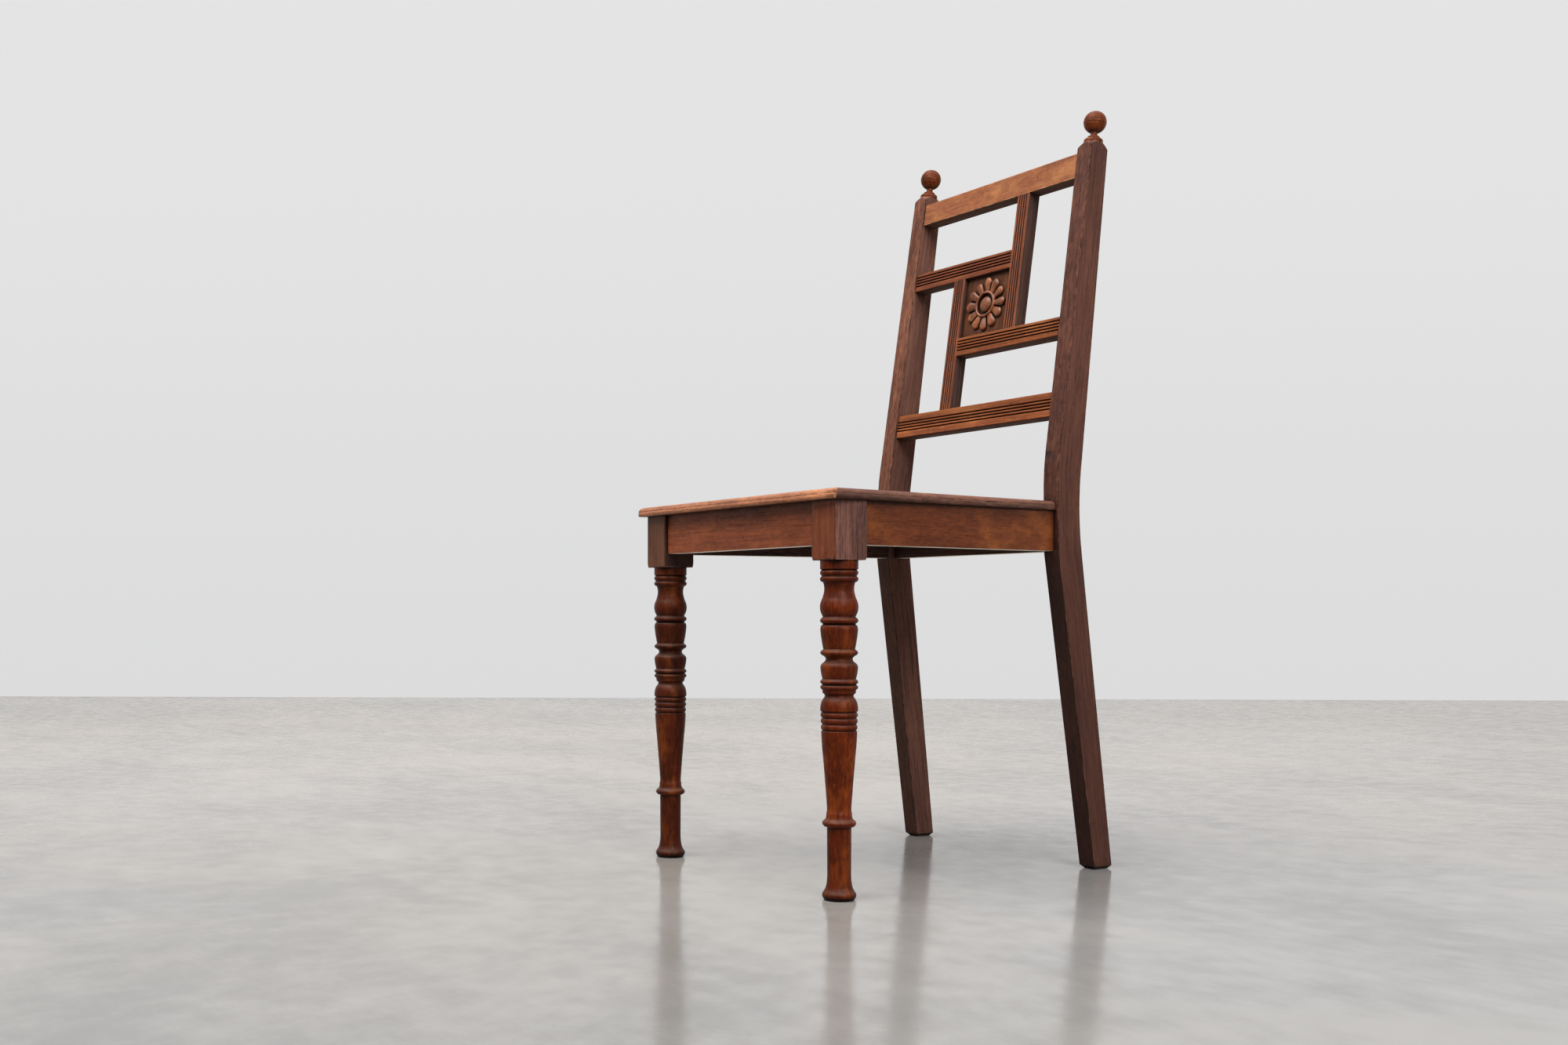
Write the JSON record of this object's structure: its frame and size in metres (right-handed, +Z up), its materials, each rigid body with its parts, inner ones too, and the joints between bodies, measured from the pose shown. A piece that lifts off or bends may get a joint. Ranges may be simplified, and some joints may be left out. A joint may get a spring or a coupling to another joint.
{
  "type": "side chair",
  "caption": "Armless wooden side chair with turned front legs, raked back posts topped by balls, a plank seat and a reeded pinwheel back round a carved rosette.",
  "frame": {"origin": "on the floor, under the middle of the chair's box", "axes": "+X to the sitter's left, +Y to the chair's back, +Z up"},
  "size_m": [0.4236, 0.4662, 0.9475],
  "materials": {
    "post_oak": "stained oak, satin polish, worn on the edges",
    "leg_oak": "stained oak, turned, satin polish",
    "rail_oak": "stained oak, satin polish",
    "seat_oak": "stained oak, worn polish",
    "back_oak": "stained oak, reeded, worn polish",
    "crest_oak": "stained oak, worn polish",
    "panel_oak": "stained oak, carved, dark in the ground",
    "brace_wood": "unpolished softwood"
  },
  "bodies": {
    "root": {"crest_rail": "crest_oak", "lower_back_rail": "back_oak", "upper_bar": "back_oak", "lower_bar": "back_oak", "left_upright": "back_oak", "right_upright": "back_oak", "rosette_panel": "panel_oak", "left_back_post": "post_oak", "right_back_post": "post_oak", "left_front_leg": "leg_oak", "right_front_leg": "leg_oak", "left_side_rail": "rail_oak", "right_side_rail": "rail_oak", "front_rail": "rail_oak", "back_rail": "rail_oak", "left_front_brace": "brace_wood", "left_rear_brace": "brace_wood", "right_front_brace": "brace_wood", "right_rear_brace": "brace_wood", "seat_board_1": "seat_oak", "seat_board_2": "seat_oak", "seat_board_3": "seat_oak"}
  },
  "joints": []
}
